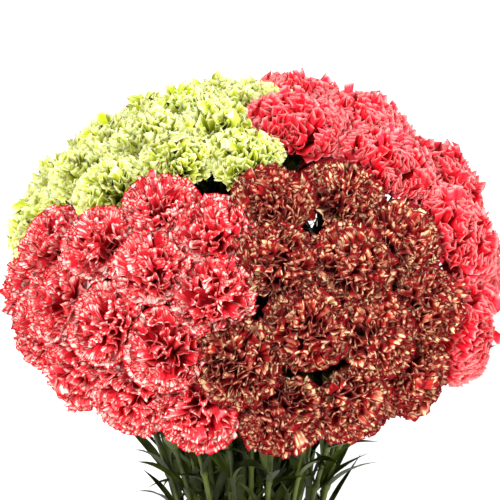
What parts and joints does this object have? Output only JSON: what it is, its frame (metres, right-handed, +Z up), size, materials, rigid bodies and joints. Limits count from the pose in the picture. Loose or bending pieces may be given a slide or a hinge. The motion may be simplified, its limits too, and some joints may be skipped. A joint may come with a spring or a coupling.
{
  "type": "carnations in a vase",
  "caption": "Domed bunch of long-stemmed carnations in four colour blocks, lime, coral, red-edged white and burgundy, standing in water in a tapered clear glass vase.",
  "frame": {"origin": "centre of the vase's flat underside, on the surface it stands on", "axes": "+Z up through the middle of the vase and the bouquet; -Y is the front, where the burgundy and the red-edged carnations are; +X is the viewer's right, where the coral carnations are"},
  "size_m": [0.4797, 0.4754, 0.6718],
  "materials": {
    "lime_petals": "matte",
    "coral_petals": "matte",
    "red_edged_petals": "matte",
    "burgundy_petals": "matte",
    "stem_green": "matte",
    "clear_glass": "gloss",
    "water": "gloss"
  },
  "bodies": {
    "root": {"burgundy_carnation_01": "burgundy_petals", "burgundy_carnation_02": "burgundy_petals", "burgundy_carnation_03": "burgundy_petals", "burgundy_carnation_04": "burgundy_petals", "burgundy_carnation_05": "burgundy_petals", "burgundy_carnation_06": "burgundy_petals", "burgundy_carnation_07": "burgundy_petals", "burgundy_carnation_08": "burgundy_petals", "burgundy_carnation_09": "burgundy_petals", "burgundy_carnation_10": "burgundy_petals", "burgundy_carnation_11": "burgundy_petals", "burgundy_carnation_12": "burgundy_petals", "coral_carnation_01": "coral_petals", "coral_carnation_02": "coral_petals", "coral_carnation_03": "coral_petals", "coral_carnation_04": "coral_petals", "coral_carnation_05": "coral_petals", "coral_carnation_06": "coral_petals", "coral_carnation_07": "coral_petals", "coral_carnation_08": "coral_petals", "coral_carnation_09": "coral_petals", "coral_carnation_10": "coral_petals", "coral_carnation_11": "coral_petals", "lime_carnation_01": "lime_petals", "lime_carnation_02": "lime_petals", "lime_carnation_03": "lime_petals", "lime_carnation_04": "lime_petals", "lime_carnation_05": "lime_petals", "lime_carnation_06": "lime_petals", "lime_carnation_07": "lime_petals", "lime_carnation_08": "lime_petals", "lime_carnation_09": "lime_petals", "lime_carnation_10": "lime_petals", "lime_carnation_11": "lime_petals", "lime_carnation_12": "lime_petals", "lime_carnation_13": "lime_petals", "lime_carnation_14": "lime_petals", "lime_carnation_15": "lime_petals", "lime_carnation_16": "lime_petals", "lime_carnation_17": "lime_petals", "lime_carnation_18": "lime_petals", "lime_carnation_19": "lime_petals", "lime_carnation_20": "lime_petals", "lime_carnation_21": "lime_petals", "red_edged_carnation_01": "red_edged_petals", "red_edged_carnation_02": "red_edged_petals", "red_edged_carnation_03": "red_edged_petals", "red_edged_carnation_04": "red_edged_petals", "red_edged_carnation_05": "red_edged_petals", "red_edged_carnation_06": "red_edged_petals", "red_edged_carnation_07": "red_edged_petals", "red_edged_carnation_08": "red_edged_petals", "red_edged_carnation_09": "red_edged_petals", "red_edged_carnation_10": "red_edged_petals", "red_edged_carnation_11": "red_edged_petals", "red_edged_carnation_12": "red_edged_petals", "red_edged_carnation_13": "red_edged_petals", "red_edged_carnation_14": "red_edged_petals", "vase": "clear_glass", "water": "water"}
  },
  "joints": []
}
